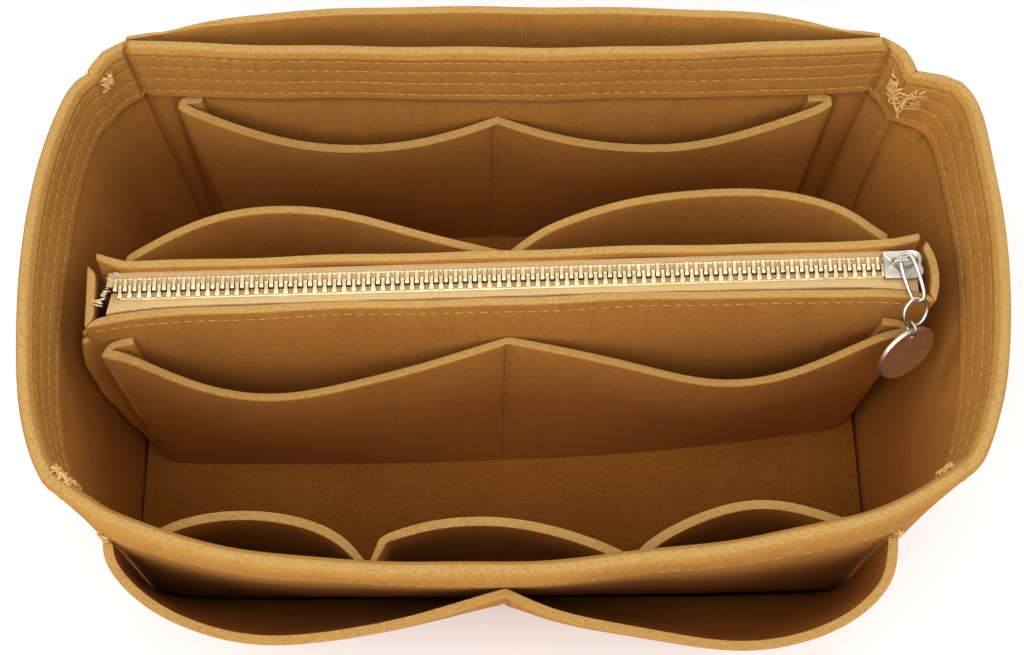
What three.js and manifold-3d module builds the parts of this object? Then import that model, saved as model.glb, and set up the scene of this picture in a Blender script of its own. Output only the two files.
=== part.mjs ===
// Felt bag organizer insert: an open felt tub with pockets and a zip pouch that stands in its middle.
// Millimetres, +X to the right, +Y to the rear, +Z up. The origin is on the base's underside, halfway
// along it and a little in front of its middle.
import * as THREE from "three";
import { mergeVertices } from "three/addons/utils/BufferGeometryUtils.js";
import Module from "manifold-3d";

const wasm = await Module();
wasm.setup();

// Felt, and the room left where two sewn or resting pieces meet
const felt = 2.8;
const gap = 0.3;
const hemThickness = 4.8;
const hemHeight = 30;

// Tub
const innerLength = 280;
const innerDepth = 149.8;
const innerRearY = 83.2;
const rimHeight = 151;
const baseCorner = 18;
const wallBelly = -0.14;
const frontBelly = 0.38;
const wallRows = 4;
const pocketRows = 4;
const foldSteps = 3;
const foldTurns = 3;
const leastStep = 2;
const leastTurn = 0.004;

const innerHalfX = innerLength / 2;
const outerHalfX = innerHalfX + felt;
const innerFrontY = innerRearY - innerDepth;
const outerRearY = innerRearY + felt;

// Where the four seams and the two rear creases stand at the rim and at the foot
const frontSeamX = outerHalfX - 3.2;
const frontSeamY = innerFrontY;
const frontSeamFootY = innerFrontY - felt + baseCorner;
const rearSeamX = { left: outerHalfX - 4.4, right: outerHalfX - 9.4 };
const rearSeamFootX = outerHalfX - 1.3;
const rearSeamY = outerRearY - 13;
const creaseX = outerHalfX - 17.2;
const creaseFootX = { left: outerHalfX - 23.8, right: outerHalfX - 16.8 };
const rearRimSag = 3.4;
const cornerBow = 2.5;

// How far each free rim stands away from the straight line between its seams, and how that is shared
// along it: by the share of the way from the front seam to the rear one, and by place on the front
const leftBow = 14.6;
const leftBowShape = [
  [0, 0],
  [0.04, 0.22],
  [0.075, 0.38],
  [0.137, 0.59],
  [0.2, 0.74],
  [0.27, 0.85],
  [0.37, 0.95],
  [0.48, 1],
  [0.6, 0.97],
  [0.68, 0.91],
  [0.75, 0.84],
  [0.82, 0.73],
  [0.885, 0.58],
  [0.93, 0.45],
  [0.97, 0.28],
  [1, 0],
];
const rightBow = 24.7;
const rightBowShape = [
  [0, 0],
  [0.022, 0.15],
  [0.055, 0.28],
  [0.12, 0.45],
  [0.185, 0.59],
  [0.25, 0.69],
  [0.35, 0.81],
  [0.45, 0.9],
  [0.55, 0.97],
  [0.66, 1],
  [0.76, 0.96],
  [0.84, 0.89],
  [0.91, 0.79],
  [0.955, 0.66],
  [0.985, 0.45],
  [1, 0],
];
const frontBow = 30.3;
const frontBowShape = [
  [-1, 0],
  [-0.96, 0.14],
  [-0.915, 0.27],
  [-0.87, 0.41],
  [-0.79, 0.57],
  [-0.7, 0.71],
  [-0.56, 0.86],
  [-0.38, 0.96],
  [-0.19, 0.99],
  [0, 1],
  [0.16, 0.95],
  [0.33, 0.87],
  [0.49, 0.79],
  [0.6, 0.7],
  [0.71, 0.59],
  [0.79, 0.49],
  [0.86, 0.36],
  [0.93, 0.2],
  [1, 0],
];
const rearBow = 8.2;
const rearBowPower = 3;
const rearOuterHalf = creaseX - 4.6;

// Doubled ends of pocket strips
const foldLength = 7;
const foldGap = 1;

// Pockets sewn on the tub. A mouth has a height at each seam and dips by its dip between them. It stands
// off its wall by its bulge where its peak is, from 0 at its left seam to 1 at its right one, and the
// fullness, less for a fuller mouth, changes from its left seam to its right one.
const rearPocketHalf = creaseX - 12.1;
const rearPocketSplit = 3;
const rearPocketMouths = [118, 105, 118];
const rearPocketDip = 16;
const rearPocketShapes = [
  { bulge: 6, peak: 0.5, fullness: [0.7, 0.7] },
  { bulge: 6, peak: 0.5, fullness: [0.7, 0.7] },
];
const innerPocketHalf = frontSeamX - 25.6;
const innerPocketSeams = [-innerPocketHalf, -43.5, 39.5, innerPocketHalf];
const innerPocketEnd = 118;
const innerPocketDip = 6;
const innerPocketShapes = [
  { bulge: 16.4, peak: 0.51, fullness: [0.65, 0.52] },
  { bulge: 18.2, peak: 0.42, fullness: [0.4, 0.8] },
  { bulge: 15.7, peak: 0.52, fullness: [0.68, 1.04] },
];
const outerPocketSeams = [13.6 - frontSeamX, -1, frontSeamX - 17.6];
const outerPocketMouths = [117, 122, 117];
const outerPocketDip = 8;
const outerPocketShapes = [
  { bulge: 17.2, peak: 0.38, fullness: [0.85, 1.05] },
  { bulge: 23.4, peak: 0.67, fullness: [0.45, 0.52] },
];

// Zip pouch, in its own frame: x along the zip, z up from the ground
const pouchX = 1.5;
const pouchY = 6.6;
const pouchTurn = 1.45;
const pouchTop = 131;
const pouchHalfTop = innerHalfX - 2;
const pouchHalfBottom = innerHalfX - 3.8;
const pouchFrontTop = -9.1;
const pouchRearTop = 9.1;
const pouchEndFlare = 4;
const pouchFrontBottom = -19.6;
const pouchFootLeft = -12.5;
const pouchFootRight = -6.5;
const pouchRearBottom = 14;
const pouchRightBow = 3;
const rearLip = 3;
const pouchPocketHalf = pouchHalfTop - 6;
const pouchPocketSeams = [-pouchPocketHalf, -1, pouchPocketHalf];
const pouchPocketMouths = [118, 108.5, 113];
const pouchPocketDip = 18;
const pouchPocketShapes = [
  { bulge: 11.3, peak: 0.38, fullness: [1.6, 0.94] },
  { bulge: 10.7, peak: 0.6, fullness: [0.75, 1.4] },
];
const backPocketHalf = pouchHalfTop - 12;
const backPocketEnd = 125;
const backPocketDip = 6;
const backPocketShapes = [
  { bulge: 21.8, peak: 0.42, fullness: [0.75, 0.6] },
  { bulge: 20, peak: 0.63, fullness: [0.8, 1] },
];

// Zip
const toothPitch = 3.15;
const zipStart = 9.7 - pouchHalfTop;
const toothCount = 1 + Math.floor((pouchHalfTop - 9.5 - zipStart) / toothPitch);
const toothHeight = 2.8;
const toothReach = 0.95;
const toothOuter = 3.4;
const toothHeadHalf = 0.62;
const toothNeckHalf = 0.45;
const toothClampHalf = 0.72;
const beadWidth = 0.7;
const beadHeight = 1;
const tapeThickness = 0.5;
const tapeDrop = 9;
const tapeEndLeft = 5.5 - pouchHalfTop;
const tapeEndRight = pouchHalfTop - 3.5;
const tapeEndSlant = 0.35;
const endThreadWidth = 1.8;
const endThreadHeight = 0.8;
const stopLength = 3;

// Slider, measured from its middle
const sliderLength = 12.7;
const sliderPlate = 0.9;
const sliderFlange = 0.6;
const sliderRun = 0.35;
const noseFlare = 0.3;
const postStart = 0.9;
const postLength = 4.4;
const postHalf = 1.1;
const crownSpan = 8.6;
const crownRise = 3.6;
const crownBar = 1;
const crownWidth = 1.5;
const crownRun = 0.7;

// Pull chain. Each heading is a turn and a dip in degrees, and each twist turns a piece about its heading.
const linkWire = 1.2;
const linkPivots = 14.5;
const linkWidth = 6.6;
const linkHeading = [14.5, 13];
const linkTwist = 45;
const ringRun = 0.45;
const ringWire = 1.1;
const ringPivots = 8.4;
const ringWidth = 10;
const ringHeading = [-13, 41];
const ringSlip = 0.8;
const ringTwist = -20;
const tagRingWire = 1;
const tagRingPivots = 3.2;
const tagRingWidth = 5.6;
const tagHeading = [2, 67.5];
const tagFace = -26;
const tagDiameter = 22;
const tagThickness = 1.4;
const tagRim = 1.2;
const tagRimRise = 0.3;
const tagHole = 2.6;
const tagHoleIn = 2.2;

// Thread tacks
const tackThickness = 1.4;
const cornerTackHeight = 13;
const cornerTackWidth = 7;
const smallTackHeight = 6;
const pocketTackHeight = 7;
const pocketTackWidth = 4;
const tackDrop = 2;

const radians = Math.PI / 180;
const v2 = (x, y) => new THREE.Vector2(x, y);
const v3 = (x, y, z) => new THREE.Vector3(x, y, z);
const mix = (a, b, t) => a + (b - a) * t;
const bellied = (t, belly) => t + belly * t * (1 - t);

const colours = {
  felt: new THREE.MeshStandardMaterial({ color: 0xb8823c, roughness: 0.95 }),
  thread: new THREE.MeshStandardMaterial({ color: 0xc9954a, roughness: 0.8 }),
  tape: new THREE.MeshStandardMaterial({ color: 0xdcc08c, roughness: 0.9 }),
  metal: new THREE.MeshStandardMaterial({ color: 0xe6dcc0, roughness: 0.3, metalness: 1 }),
};

// Closed surfaces from rings of points

function surface(points, faces) {
  const geometry = new THREE.BufferGeometry();
  geometry.setAttribute("position", new THREE.Float32BufferAttribute(points.flatMap((p) => p.toArray()), 3));
  geometry.setIndex(faces.flat());
  return geometry;
}

// Joins like rings of points. An open run is closed by caps, cut as the flat outline says.
function loft(rings, capOutline, closed = false) {
  const count = rings[0].length;
  const points = rings.flat();
  const faces = [];
  const last = closed ? rings.length : rings.length - 1;
  for (let r = 0; r < last; r++) {
    const a = r * count;
    const b = ((r + 1) % rings.length) * count;
    for (let k = 0; k < count; k++) {
      const next = (k + 1) % count;
      faces.push([a + k, b + k, b + next], [a + k, b + next, a + next]);
    }
  }
  if (!closed) {
    const end = (rings.length - 1) * count;
    // Bent a little, so that no point of a straight side is passed over
    const bent = capOutline.map((p) => v2(p.x + p.y ** 2 / 1000, p.y));
    const [near, far] = THREE.ShapeUtils.isClockWise(bent) ? [end, 0] : [0, end];
    for (const [i, j, k] of THREE.ShapeUtils.triangulateShape(bent, [])) {
      faces.push([near + i, near + j, near + k], [far + i, far + k, far + j]);
    }
  }
  return outward(surface(points, faces));
}

function signedVolume(geometry) {
  const p = geometry.attributes.position;
  const index = geometry.index.array;
  const [a, b, c] = [v3(), v3(), v3()];
  let sum = 0;
  for (let i = 0; i < index.length; i += 3) {
    a.fromBufferAttribute(p, index[i]);
    b.fromBufferAttribute(p, index[i + 1]);
    c.fromBufferAttribute(p, index[i + 2]);
    sum += a.dot(b.cross(c));
  }
  return sum / 6;
}

function outward(geometry) {
  if (signedVolume(geometry) < 0) geometry.index.array.reverse();
  return geometry;
}

// Joins and cuts

function solidOf(geometry) {
  const bare = geometry.index ? geometry.clone() : mergeVertices(geometry);
  bare.deleteAttribute("normal");
  bare.deleteAttribute("uv");
  const merged = mergeVertices(bare, 1e-4);
  return new wasm.Manifold(
    new wasm.Mesh({
      numProp: 3,
      vertProperties: new Float32Array(merged.attributes.position.array),
      triVerts: new Uint32Array(merged.index.array),
    }),
  );
}

function geometryOf(solid) {
  const mesh = solid.getMesh();
  const geometry = new THREE.BufferGeometry();
  geometry.setAttribute("position", new THREE.BufferAttribute(mesh.vertProperties, 3));
  geometry.setIndex(new THREE.BufferAttribute(mesh.triVerts, 1));
  return geometry;
}

const join = (geometries) => geometryOf(geometries.map(solidOf).reduce((a, b) => a.add(b)));
const cut = (geometry, tool) => geometryOf(solidOf(geometry).subtract(solidOf(tool)));

function prism(outline, z0, z1) {
  const shape = new THREE.Shape(outline);
  const made = new THREE.ExtrudeGeometry(shape, { depth: z1 - z0, bevelEnabled: false });
  return made.translate(0, 0, z0);
}

function block(x0, x1, y0, y1, z0, z1) {
  const made = new THREE.BoxGeometry(x1 - x0, y1 - y0, z1 - z0);
  return made.translate((x0 + x1) / 2, (y0 + y1) / 2, (z0 + z1) / 2);
}

function mesh(name, geometry, material) {
  const made = new THREE.Mesh(geometry, material);
  made.name = name;
  return made;
}

// A shell is a closed outline that changes from its foot to its top. Each panel is a run of its stations.
// Its point(station, z, inset) is on the outer face moved inwards by the inset. The stations are even along
// the top, or else as close as the points that its shape is given by. The belly says how far a wall bows out
// halfway up, as a share of its lean, and the middle of a panel may have one of its own.

function makeShell(panels, footZ, topZ, belly, even) {
  const foot = [];
  const top = [];
  const bellies = [];
  const runs = {};
  for (const { name, footPath, topPath, steps, middleBelly = belly } of panels) {
    runs[name] = [foot.length, foot.length + steps];
    const pointOf = even ? "getPointAt" : "getPoint";
    const along = Array.from({ length: steps }, (_, i) => topPath[pointOf](i / steps));
    const ways = along.map((p, i) => (i ? p.distanceTo(along[i - 1]) : 0));
    const whole = ways.reduce((sum, way) => sum + way) + along.at(-1).distanceTo(topPath.getPoint(1));
    let gone = 0;
    foot.push(...ways.map((way) => footPath.getPointAt((gone += way) / whole)));
    top.push(...along);
    bellies.push(...along.map((_, i) => mix(belly, middleBelly, Math.sin((Math.PI * i) / steps))));
  }
  const count = foot.length;
  const at = (list, i) => list[((i % count) + count) % count];

  // Inward direction at a station, longer at a corner so that the wall keeps its thickness
  const inward = (list, i) => {
    const before = at(list, i).clone().sub(at(list, i - 1)).normalize();
    const after = at(list, i + 1).clone().sub(at(list, i)).normalize();
    const sum = v2(-before.y - after.y, before.x + after.x);
    return sum.divideScalar(1 + before.dot(after));
  };
  const footIn = foot.map((_, i) => inward(foot, i));
  const topIn = top.map((_, i) => inward(top, i));

  const blend = (list, u) => {
    const i = Math.floor(u);
    return at(list, i).clone().lerp(at(list, i + 1), u - i);
  };
  const point = (u, z, inset) => {
    const t = Math.max(0, (z - footZ) / (topZ - footZ));
    const i = Math.floor(u);
    const rise = bellied(t, mix(at(bellies, i), at(bellies, i + 1), u - i));
    const place = blend(foot, u).lerp(blend(top, u), rise);
    const turn = blend(footIn, u).lerp(blend(topIn, u), rise);
    return v3(place.x + turn.x * inset, place.y + turn.y * inset, z);
  };

  // Distances of a panel's stations along its top, from its middle, and the station at a distance
  const distancesOf = (name) => {
    const [first, last] = runs[name];
    const list = [0];
    for (let i = first; i < last; i++) list.push(list.at(-1) + at(top, i).distanceTo(at(top, i + 1)));
    return list.map((d) => d - list.at(-1) / 2);
  };
  const stationAt = (name, distance) => {
    const list = distancesOf(name);
    let i = 0;
    while (i < list.length - 2 && list[i + 1] < distance) i++;
    return runs[name][0] + i + (distance - list[i]) / (list[i + 1] - list[i]);
  };

  // Both ends of a stretch of a panel and the stations between them, as distances
  const stopsBetween = (name, first, last) => {
    const inside = distancesOf(name).filter((d) => d > first + leastStep && d < last - leastStep);
    return [first, ...inside, last];
  };

  // Stations of a whole panel, with its two ends drawn back by half the seam's gap
  const panelStations = (name) => {
    const [first, last] = runs[name];
    const list = [];
    for (let i = first; i <= last; i++) list.push(i);
    const wayOn = (ring, i, j) => at(ring, i).distanceTo(at(ring, j));
    const draw = (i, j) => gap / 2 / Math.min(wayOn(foot, i, j), wayOn(top, i, j));
    list[0] += draw(first, first + 1);
    list[list.length - 1] -= draw(last - 1, last);
    return list;
  };

  // Station that lies a distance along the top from another
  const walk = (u, distance) => {
    const way = Math.sign(distance);
    let left = Math.abs(distance);
    let i = u;
    while (at(top, i).distanceTo(at(top, i + way)) < left) {
      left -= at(top, i).distanceTo(at(top, i + way));
      i += way;
    }
    return i + (way * left) / at(top, i).distanceTo(at(top, i + way));
  };
  return { point, stationAt, stopsBetween, panelStations, walk, foot, footIn, runs };
}

// Wall section as inset and height: up the outer face, over the folded rim, down the inner face
function wallSection(footZ, topZ, hem) {
  const radius = hem ? hemThickness / 2 : felt / 2;
  const full = radius * 2;
  const shoulder = topZ - radius;
  const rows = (from, to, steps) => Array.from({ length: steps }, (_, i) => mix(from, to, i / steps));
  const outer = rows(footZ, shoulder, wallRows).map((z) => [0, z]);
  const fold = [];
  for (let i = 0; i <= foldSteps; i++) {
    const a = Math.PI * (1 - i / foldSteps);
    fold.push([radius + radius * Math.cos(a), shoulder + radius * Math.sin(a)]);
  }
  const hemLow = topZ - hemHeight;
  const step = hem ? [[full, hemLow], [felt, hemLow]] : [];
  const innerTop = hem ? hemLow : shoulder;
  const inner = rows(footZ, innerTop, wallRows).reverse().map((z) => [felt, z]);
  return [...outer, ...fold, ...step, ...inner];
}

// Cut edge of single felt: flat on top
function cutSection(footZ, topZ) {
  const rows = Array.from({ length: wallRows + 1 }, (_, i) => mix(footZ, topZ, i / wallRows));
  return [...rows.map((z) => [0, z]), ...rows.reverse().map((z) => [felt, z])];
}

function panelGeometry(shell, name, section) {
  const rings = shell.panelStations(name).map((u) => section.map(([inset, z]) => shell.point(u, z, inset)));
  return loft(rings, section.map(([inset, z]) => v2(inset, z)));
}

// A sewn pocket strip, as the middle line of its felt: distance along the wall and distance off its face.
// Each pocket stands off its wall between its seams and dips at its mouth. A folded end lies doubled.
function pocketLine(shell, { panel, seams, shapes, folded }) {
  const close = gap + felt / 2;
  const lift = folded ? felt + foldGap : 0;
  const turn = lift / 2;
  const line = [];
  const outermost = seams[seams.length - 1];
  for (let p = 0; p < seams.length - 1; p++) {
    const first = p === 0 ? seams[p] + turn : seams[p];
    const last = seams[p + 1] === outermost ? outermost - turn : seams[p + 1];
    for (const along of shell.stopsBetween(panel, first, last).slice(p ? 1 : 0)) {
      const t = (along - first) / (last - first);
      const doubled = (p === 0 ? 1 - t : 0) + (seams[p + 1] === outermost ? t : 0);
      const { bulge, peak, fullness } = shapes[p];
      const swell = Math.sin(Math.PI * Math.min(t, 1) ** (Math.log(0.5) / Math.log(peak)));
      const stand = bulge * swell ** mix(...fullness, t);
      line.push({ along, off: close + lift * doubled, bulge: stand, pocket: p, t, swell });
    }
  }
  if (!folded) return line;
  const under = (end, inward, t, pocket) => {
    const list = [{ along: end + inward * foldLength, off: close }];
    for (let k = 0; k < foldTurns; k++) {
      const a = (Math.PI * k) / foldTurns;
      list.push({ along: end + inward * turn * (1 - Math.sin(a)), off: close + turn * (1 - Math.cos(a)) });
    }
    return list.map((made) => ({ ...made, bulge: 0, pocket, t, swell: 0 }));
  };
  const right = under(outermost, -1, 1, seams.length - 2).reverse();
  return [...under(seams[0], 1, 0, 0), ...line, ...right];
}

function pocketGeometry(shell, options) {
  const { panel, mouths, dip, footZ, face, side } = options;
  const line = pocketLine(shell, options);
  const stations = line.map(({ along }) => shell.stationAt(panel, along));
  const near = [];
  const far = [];
  for (let k = 0; k <= pocketRows; k++) {
    const rise = k / pocketRows;
    const open = Math.sin((rise * Math.PI) / 2) ** 1.3;
    const middle = line.map(({ along, off, bulge }) => v2(along, off + bulge * open));
    line.forEach(({ pocket, t, swell }, i) => {
      const before = middle[Math.max(i - 1, 0)];
      const after = middle[Math.min(i + 1, line.length - 1)];
      const ahead = after.clone().sub(before).normalize();
      const z = mix(footZ, mix(mouths[pocket], mouths[pocket + 1], t) - dip * swell ** 1.2, rise);
      for (const [list, half] of [[near, -felt / 2], [far, felt / 2]]) {
        const place = v2(middle[i].x - ahead.y * half, middle[i].y + ahead.x * half);
        const u = i && i < line.length - 1 && !ahead.y ? stations[i] : shell.stationAt(panel, place.x);
        (list[i] ??= []).push(shell.point(u, z, face + side * place.y));
      }
    });
  }
  const rings = line.map((_, i) => [...near[i], ...far[i].reverse()]);
  const outline = [];
  for (let k = 0; k <= pocketRows; k++) outline.push(v2(0, k));
  for (let k = pocketRows; k >= 0; k--) outline.push(v2(1, k));
  return loft(rings, outline);
}

// A thread tack: a low pad of stitches, over a seam or beside it. Its ends are at two stations.
function tackGeometry(shell, [first, last], z0, z1, inset, side) {
  const rings = [];
  const steps = 4;
  for (let i = 0; i <= steps; i++) {
    const t = i / steps;
    const u = mix(first, last, t);
    const crown = tackThickness * (0.45 + 0.55 * Math.sin(Math.PI * t));
    const near = inset + side * gap;
    const far = inset + side * (gap + crown);
    const low = mix(z0, z1, 0.12);
    const high = mix(z0, z1, 0.88);
    rings.push([
      shell.point(u, z0, near),
      shell.point(u, z1, near),
      shell.point(u, high, far),
      shell.point(u, low, far),
    ]);
  }
  return loft(rings, [v2(0, 0), v2(0, 1), v2(0.8, 0.9), v2(0.8, 0.1)]);
}

// Tub outline, anticlockwise seen from above, so that each panel's inside is on its left

function path(...points) {
  const made = new THREE.CurvePath();
  for (let i = 0; i < points.length - 1; i++) made.add(new THREE.LineCurve(points[i], points[i + 1]));
  return made;
}

function frontFoot() {
  const made = new THREE.Path();
  const x = outerHalfX - baseCorner;
  made.absarc(-x, frontSeamFootY, baseCorner, Math.PI, Math.PI * 1.5, false);
  made.lineTo(x, frontSeamFootY - baseCorner);
  made.absarc(x, frontSeamFootY, baseCorner, -Math.PI / 2, 0, false);
  return made;
}

function frontTop() {
  return new THREE.SplineCurve(
    frontBowShape.map(([x, bow]) => v2(x * frontSeamX, frontSeamY - frontBow * bow)),
  );
}

function sideTop(sign, rearX, bow, shape) {
  const points = shape.map(([t, share]) => {
    return v2(sign * (mix(frontSeamX, rearX, t) + bow * share), mix(frontSeamY, rearSeamY, t));
  });
  if (sign < 0) points.reverse();
  return new THREE.SplineCurve(points);
}

function sideFoot(sign) {
  const front = v2(sign * outerHalfX, frontSeamFootY);
  const rear = v2(sign * rearSeamFootX, rearSeamY);
  return sign > 0 ? path(front, rear) : path(rear, front);
}

// The lining's return from a seam to its crease, at the foot and bowed a little at the top
const cornerFoot = (sign, footX) => [v2(sign * rearSeamFootX, rearSeamY), v2(sign * footX, outerRearY)];
const rightFoot = cornerFoot(1, creaseFootX.right);
const leftFoot = cornerFoot(-1, creaseFootX.left);

function cornerTop(sign, seamX) {
  const seam = v2(sign * seamX, rearSeamY);
  const crease = v2(sign * creaseX, outerRearY);
  const across = crease.clone().sub(seam).normalize();
  const middle = seam.clone().lerp(crease, 0.5).add(v2(across.y, -across.x).multiplyScalar(sign * cornerBow));
  return [seam, middle, crease];
}

function rearTop() {
  const points = [1, 0.75, 0.4, 0, -0.4, -0.75, -1];
  return new THREE.SplineCurve(points.map((t) => v2(t * creaseX, outerRearY - rearRimSag * (1 - t ** 2))));
}

const tub = makeShell(
  [
    { name: "front", footPath: frontFoot(), topPath: frontTop(), steps: 36, middleBelly: frontBelly },
    {
      name: "right",
      footPath: sideFoot(1),
      topPath: sideTop(1, rearSeamX.right, rightBow, rightBowShape),
      steps: 20,
    },
    {
      name: "rightCorner",
      footPath: path(...rightFoot),
      topPath: new THREE.SplineCurve(cornerTop(1, rearSeamX.right)),
      steps: 4,
    },
    { name: "rear", footPath: path(rightFoot[1], leftFoot[1]), topPath: rearTop(), steps: 20 },
    {
      name: "leftCorner",
      footPath: path(leftFoot[1], leftFoot[0]),
      topPath: new THREE.SplineCurve(cornerTop(-1, rearSeamX.left).reverse()),
      steps: 4,
    },
    {
      name: "left",
      footPath: sideFoot(-1),
      topPath: sideTop(-1, rearSeamX.left, leftBow, leftBowShape),
      steps: 20,
    },
  ],
  0,
  rimHeight,
  wallBelly,
  false,
);

// The rear lining is one felt from seam to seam, creased at both rear corners
tub.runs.lining = [tub.runs.rightCorner[0], tub.runs.leftCorner[1]];

// Bowed outer felt behind the rear lining: the space between them is the outside slit pocket
function rearOuterPanel() {
  const steps = 16;
  const section = cutSection(0, rimHeight);
  const rings = [];
  for (let i = 0; i <= steps; i++) {
    const t = mix(-1, 1, i / steps);
    const ring = section.map(([inset, z]) => {
      const rise = bellied(z / rimHeight, wallBelly);
      const bow = rearBow * rise * (1 - Math.abs(t) ** rearBowPower);
      return v3(t * rearOuterHalf, outerRearY + gap + bow + felt - inset, z);
    });
    rings.push(ring);
  }
  return loft(rings, section.map(([inset, z]) => v2(inset, z)));
}

const onBase = felt + gap;
const stationsOf = (shell, name, distances) => distances.map((d) => shell.stationAt(name, d));

// A floor inside a shell's foot, with points only where its outline turns
function floorPanel(shell, z) {
  const outline = shell.foot.map((p, i) => p.clone().addScaledVector(shell.footIn[i], felt + gap));
  const corners = outline.filter((p, i) => {
    const before = p.clone().sub(outline.at(i - 1)).normalize();
    const after = outline[(i + 1) % outline.length].clone().sub(p).normalize();
    return Math.abs(before.cross(after)) > leastTurn;
  });
  return prism(corners, z, z + felt);
}

function rearWallPocket() {
  return pocketGeometry(tub, {
    panel: "rear",
    folded: true,
    seams: [-rearPocketHalf, rearPocketSplit, rearPocketHalf],
    mouths: rearPocketMouths,
    shapes: rearPocketShapes,
    dip: rearPocketDip,
    footZ: onBase,
    face: felt,
    side: 1,
  });
}

function frontInnerPocket() {
  return pocketGeometry(tub, {
    panel: "front",
    folded: false,
    seams: innerPocketSeams,
    mouths: innerPocketSeams.map(() => innerPocketEnd),
    shapes: innerPocketShapes,
    dip: innerPocketDip,
    footZ: onBase,
    face: felt,
    side: 1,
  });
}

function frontOuterPocket() {
  return pocketGeometry(tub, {
    panel: "front",
    folded: false,
    seams: outerPocketSeams,
    mouths: outerPocketMouths,
    shapes: outerPocketShapes,
    dip: outerPocketDip,
    footZ: 0,
    face: 0,
    side: -1,
  });
}

function tubTacks() {
  const top = rimHeight - hemThickness;
  const { front, right, rightCorner, left } = tub.runs;
  const cornerTack = (seam, way, height) => {
    const ends = [tub.walk(seam, way * gap), tub.walk(seam, way * (gap + cornerTackWidth))];
    return tackGeometry(tub, ends, top - height, top, hemThickness, 1);
  };
  const pocketTack = (seam, way) => {
    const ends = [gap, gap + pocketTackWidth].map((d) => tub.stationAt("front", seam + way * d));
    const z1 = outerPocketMouths[0] - tackDrop;
    return tackGeometry(tub, ends, z1 - pocketTackHeight, z1, 0, -1);
  };
  return {
    front_left_tack: cornerTack(front[0], 1, cornerTackHeight),
    front_right_tack: cornerTack(right[0], -1, smallTackHeight),
    rear_right_tack: cornerTack(rightCorner[0], 1, cornerTackHeight),
    rear_left_tack: cornerTack(left[0], -1, smallTackHeight),
    outer_pocket_left_tack: pocketTack(outerPocketSeams[0], -1),
    outer_pocket_right_tack: pocketTack(outerPocketSeams.at(-1), 1),
  };
}

// Zip pouch

const pouchFloor = onBase;
const frontTopEnd = pouchFrontTop - pouchEndFlare;
const footEnds = [pouchFootLeft, pouchFootRight];

// Front face from left to right, with a middle depth and a depth at each end
function pouchFront(half, middle, [left, right], shares) {
  const shape = [-1, -0.94, -0.8, -0.4, 0, 0.4, 0.8, 0.94, 1];
  return new THREE.SplineCurve(
    shape.map((x, i) => v2(x * half, mix(middle, x < 0 ? left : right, shares[Math.abs(i - 4)]))),
  );
}

function pouchEnd(sign, half, front, rear, bow) {
  const points = [0, 0.3, 0.7, 1].map((t) => {
    return v2(sign * (half + bow * Math.sin(Math.PI * t)), mix(front, rear, t));
  });
  if (sign < 0) points.reverse();
  return new THREE.SplineCurve(points);
}

const pouch = makeShell(
  [
    {
      name: "front",
      footPath: pouchFront(pouchHalfBottom, pouchFrontBottom, footEnds, [0, 0.22, 0.68, 0.9, 1]),
      topPath: pouchFront(pouchHalfTop, pouchFrontTop, [frontTopEnd, frontTopEnd], [0, 0, 0.1, 0.5, 1]),
      steps: 24,
    },
    {
      name: "right",
      footPath: pouchEnd(1, pouchHalfBottom, pouchFootRight, pouchRearBottom, 0),
      topPath: pouchEnd(1, pouchHalfTop, frontTopEnd, pouchRearTop, pouchRightBow),
      steps: 4,
    },
    {
      name: "rear",
      footPath: path(v2(pouchHalfBottom, pouchRearBottom), v2(-pouchHalfBottom, pouchRearBottom)),
      topPath: path(v2(pouchHalfTop, pouchRearTop), v2(-pouchHalfTop, pouchRearTop)),
      steps: 24,
    },
    {
      name: "left",
      footPath: pouchEnd(-1, pouchHalfBottom, pouchFootLeft, pouchRearBottom, 0),
      topPath: pouchEnd(-1, pouchHalfTop, frontTopEnd, pouchRearTop, 0),
      steps: 4,
    },
  ],
  pouchFloor,
  pouchTop,
  0,
  true,
);

function pouchFrontPocket() {
  return pocketGeometry(pouch, {
    panel: "front",
    folded: true,
    seams: pouchPocketSeams,
    mouths: pouchPocketMouths,
    shapes: pouchPocketShapes,
    dip: pouchPocketDip,
    footZ: pouchFloor,
    face: 0,
    side: -1,
  });
}

function pouchRearPocket() {
  return pocketGeometry(pouch, {
    panel: "rear",
    folded: true,
    seams: [-backPocketHalf, 0, backPocketHalf],
    mouths: [backPocketEnd, backPocketEnd, backPocketEnd],
    shapes: backPocketShapes,
    dip: backPocketDip,
    footZ: pouchFloor,
    face: 0,
    side: -1,
  });
}

// Zip. Its tapes lie level beside the teeth, then turn down behind the felt they are sewn to.

const rowHalf = toothOuter + beadWidth / 2;
const tapeInner = rowHalf + gap;

function tapeGeometry(name, sign) {
  const drop = pouchTop - tapeDrop;
  const top = pouchTop + tapeThickness / 2;
  const low = pouchTop - tapeThickness / 2;
  const ends = [-sign * tapeEndLeft, -sign * tapeEndRight].sort((a, b) => a - b);
  const rings = stationsOf(pouch, name, pouch.stopsBetween(name, ...ends)).map((u) => {
    const face = (z, thickness) => pouch.point(u, z, felt + gap + thickness);
    const { x, y } = face(pouchTop, 0);
    const leftness = (tapeEndRight - x) / (tapeEndRight - tapeEndLeft);
    const inner = x + leftness * tapeEndSlant * (sign * tapeInner - y);
    return [
      v3(inner, sign * tapeInner, top),
      face(top, 0),
      face(drop, 0),
      face(drop, tapeThickness),
      face(low, tapeThickness),
      v3(inner, sign * tapeInner, low),
    ];
  });
  return loft(rings, [v2(0, 5), v2(5, 5), v2(5, 0), v2(4, 0), v2(4, 4), v2(0, 4)]);
}

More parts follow.
